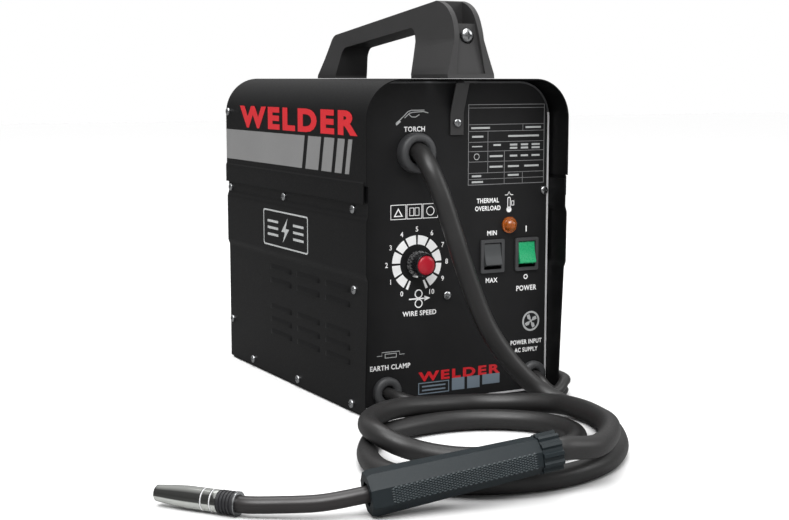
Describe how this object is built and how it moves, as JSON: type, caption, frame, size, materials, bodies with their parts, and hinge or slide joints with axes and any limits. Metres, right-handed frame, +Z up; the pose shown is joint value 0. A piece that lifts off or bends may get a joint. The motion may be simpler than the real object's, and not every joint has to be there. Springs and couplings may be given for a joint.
{
  "type": "mig welding machine",
  "caption": "Portable wire-feed welder: black folded-steel case with carry handle, control panel, hinged wire cover, coiled torch cable and torch, earth clamp and mains lead.",
  "frame": {"origin": "centre of the case's footprint, on the floor", "axes": "+X to the right seen from the front, the control panel faces -Y, +Z up"},
  "size_m": [0.525, 0.6096, 0.3666],
  "materials": {
    "case_black": "satin powder coat",
    "inner_steel": "plain zinc-plated sheet",
    "screw_zinc": "zinc plated",
    "dark_plastic": "fine moulded texture",
    "black_plastic": "satin moulding",
    "cable_rubber": "satin",
    "torch_plastic": "moulded, knurled sides",
    "neck_metal": "dark satin sleeve",
    "nozzle_chrome": "polished",
    "copper": "bare copper",
    "brass": "bare",
    "red_plastic": "gloss",
    "green_plastic": "translucent gloss",
    "amber_lens": "clear dome",
    "laminated_iron": "varnished laminations",
    "circuit_board": "solder mask",
    "aluminium": "extruded",
    "welding_wire": "copper-coated steel wire"
  },
  "bodies": {
    "machine": {"base_pan": "case_black", "front_panel": "case_black", "rear_panel": "case_black", "left_side_panel": "case_black", "right_side_panel": "case_black", "top_cover": "case_black", "cover_hinge_pin": "screw_zinc", "shelf_plate": "inner_steel", "divider_plate": "inner_steel", "panel_screw_left": "screw_zinc", "panel_screw_right": "screw_zinc", "handle": "dark_plastic", "handle_strap": "black_plastic", "handle_bolt": "black_plastic", "strap_screw": "screw_zinc", "torch_bush": "dark_plastic", "earth_grommet": "dark_plastic", "mains_grommet": "dark_plastic", "overload_lamp": "amber_lens", "speed_potentiometer": "inner_steel", "range_switch": "black_plastic", "power_switch": "black_plastic", "transformer_core": "laminated_iron", "primary_winding": "copper", "secondary_winding": "aluminium", "rectifier": "aluminium", "fan_housing": "black_plastic", "control_board": "circuit_board", "feed_motor": "inner_steel", "feed_housing": "black_plastic", "wire_guide": "brass", "spool_axle": "black_plastic", "spool_nut": "black_plastic", "torch_cable": "cable_rubber", "torch_handle": "torch_plastic", "torch_end_nut": "torch_plastic", "swan_neck": "neck_metal", "nozzle_insulator": "black_plastic", "gas_nozzle": "nozzle_chrome", "contact_tip": "copper", "earth_lead": "cable_rubber", "clamp_jaw_lower": "screw_zinc", "clamp_pin": "screw_zinc", "mains_lead": "cable_rubber", "mains_plug": "black_plastic"},
    "wire_cover": {"wire_cover": "case_black", "cover_screw": "screw_zinc"},
    "dial": {"speed_knob": "black_plastic", "knob_cap": "red_plastic"},
    "range_rocker": {"range_rocker": "dark_plastic"},
    "power_rocker": {"power_rocker": "green_plastic"},
    "trigger": {"torch_trigger": "black_plastic"},
    "reel": {"wire_spool": "dark_plastic", "wire_coil": "welding_wire"},
    "drive_roller": {"drive_roller": "screw_zinc"},
    "pressure_arm": {"pressure_arm": "dark_plastic"},
    "pressure_roller": {"pressure_roller": "screw_zinc"},
    "tension_knob": {"tension_knob": "black_plastic"},
    "fan": {"fan_rotor": "dark_plastic"},
    "clamp_jaw": {"clamp_jaw_upper": "screw_zinc"}
  },
  "joints": [
    {"name": "wire_cover_hinge", "type": "hinge", "parent": "machine", "child": "wire_cover", "pos_m": [-0.03, 0, 0.2945], "axis": [0, 1, 0], "range_deg": [0, 85]},
    {"name": "dial_turn", "type": "hinge", "parent": "machine", "child": "dial", "pos_m": [-0.0403, -0.14, 0.1319], "axis": [0, 1, 0], "range_deg": [0, 300]},
    {"name": "range_rocker_tilt", "type": "hinge", "parent": "machine", "child": "range_rocker", "pos_m": [0.0393, -0.127, 0.1337], "axis": [1, 0, 0], "range_deg": [0, 24]},
    {"name": "power_rocker_tilt", "type": "hinge", "parent": "machine", "child": "power_rocker", "pos_m": [0.077, -0.127, 0.1337], "axis": [1, 0, 0], "range_deg": [0, 24]},
    {"name": "trigger_squeeze", "type": "hinge", "parent": "machine", "child": "trigger", "pos_m": [-0.20427, -0.39327, 0.01889], "axis": [0.1405, -0.0285, -0.9897], "range_deg": [0, 6]},
    {"name": "reel_spin", "type": "hinge", "parent": "machine", "child": "reel", "pos_m": [-0.051, 0.072, 0.226], "axis": [1, 0, 0], "continuous": true},
    {"name": "drive_roller_spin", "type": "hinge", "parent": "machine", "child": "drive_roller", "pos_m": [-0.043, -0.07, 0.2162], "axis": [1, 0, 0], "continuous": true},
    {"name": "pressure_arm_lift", "type": "hinge", "parent": "machine", "child": "pressure_arm", "pos_m": [-0.052, -0.092, 0.248], "axis": [1, 0, 0], "range_deg": [0, 30]},
    {"name": "pressure_roller_spin", "type": "hinge", "parent": "pressure_arm", "child": "pressure_roller", "pos_m": [-0.043, -0.07, 0.243], "axis": [1, 0, 0], "continuous": true},
    {"name": "tension_knob_turn", "type": "hinge", "parent": "pressure_arm", "child": "tension_knob", "pos_m": [-0.052, -0.047, 0.25], "axis": [0, 0, 1], "range_deg": [-180, 180]},
    {"name": "fan_spin", "type": "hinge", "parent": "machine", "child": "fan", "pos_m": [-0.022, 0.1135, 0.056], "axis": [0, 1, 0], "continuous": true},
    {"name": "earth_clamp_open", "type": "hinge", "parent": "machine", "child": "clamp_jaw", "pos_m": [0.15, 0.02, 0.017], "axis": [1, 0, 0], "range_deg": [0, 18]}
  ],
  "couplings": [
    {"joint": "pressure_roller_spin", "follows": "drive_roller_spin", "ratio": -1.3636},
    {"joint": "reel_spin", "follows": "drive_roller_spin", "ratio": 0.35714}
  ]
}
